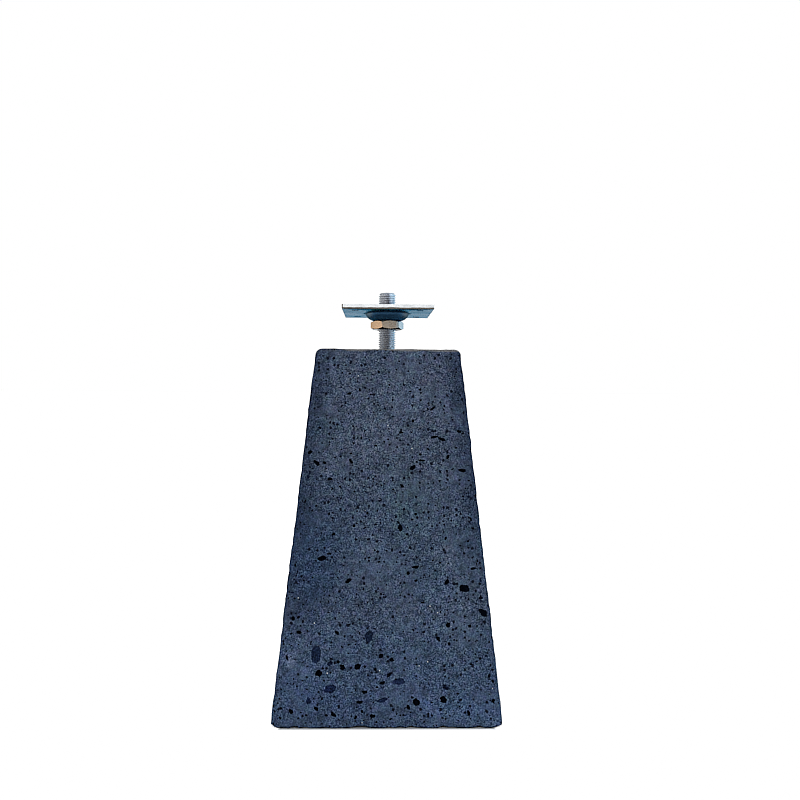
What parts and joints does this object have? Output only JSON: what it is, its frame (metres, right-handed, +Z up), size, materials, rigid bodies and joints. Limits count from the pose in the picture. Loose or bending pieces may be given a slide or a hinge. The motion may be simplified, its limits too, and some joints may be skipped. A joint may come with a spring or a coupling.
{
  "type": "adjustable post base",
  "caption": "Tapered square concrete post base with a threaded rod, an adjusting nut and a dished square plate that carries the post.",
  "frame": {"origin": "centre of the block's square underside, on the ground", "axes": "+Z up along the threaded rod, -Y towards the front face that the picture shows, +X to its right"},
  "size_m": [0.1846, 0.1846, 0.3545],
  "materials": {
    "concrete": "matte",
    "rod_zinc": "satin",
    "nut_zinc": "satin",
    "plate_zinc": "satin"
  },
  "bodies": {
    "base": {"concrete_block": "concrete", "threaded_rod": "rod_zinc"},
    "plate": {"post_plate": "plate_zinc"},
    "nut": {"adjusting_nut": "nut_zinc"}
  },
  "joints": [
    {"name": "plate_height", "type": "slide", "parent": "base", "child": "plate", "axis": [0, 0, 1], "range_m": [-0.02, 0.02]},
    {"name": "nut_turn", "type": "hinge", "parent": "plate", "child": "nut", "pos_m": [0, 0, 0.325], "axis": [0, 0, 1], "range_deg": [-3600, 3600]}
  ],
  "couplings": [
    {"joint": "nut_turn", "follows": "plate_height", "rad_per_m": 3141.6}
  ]
}
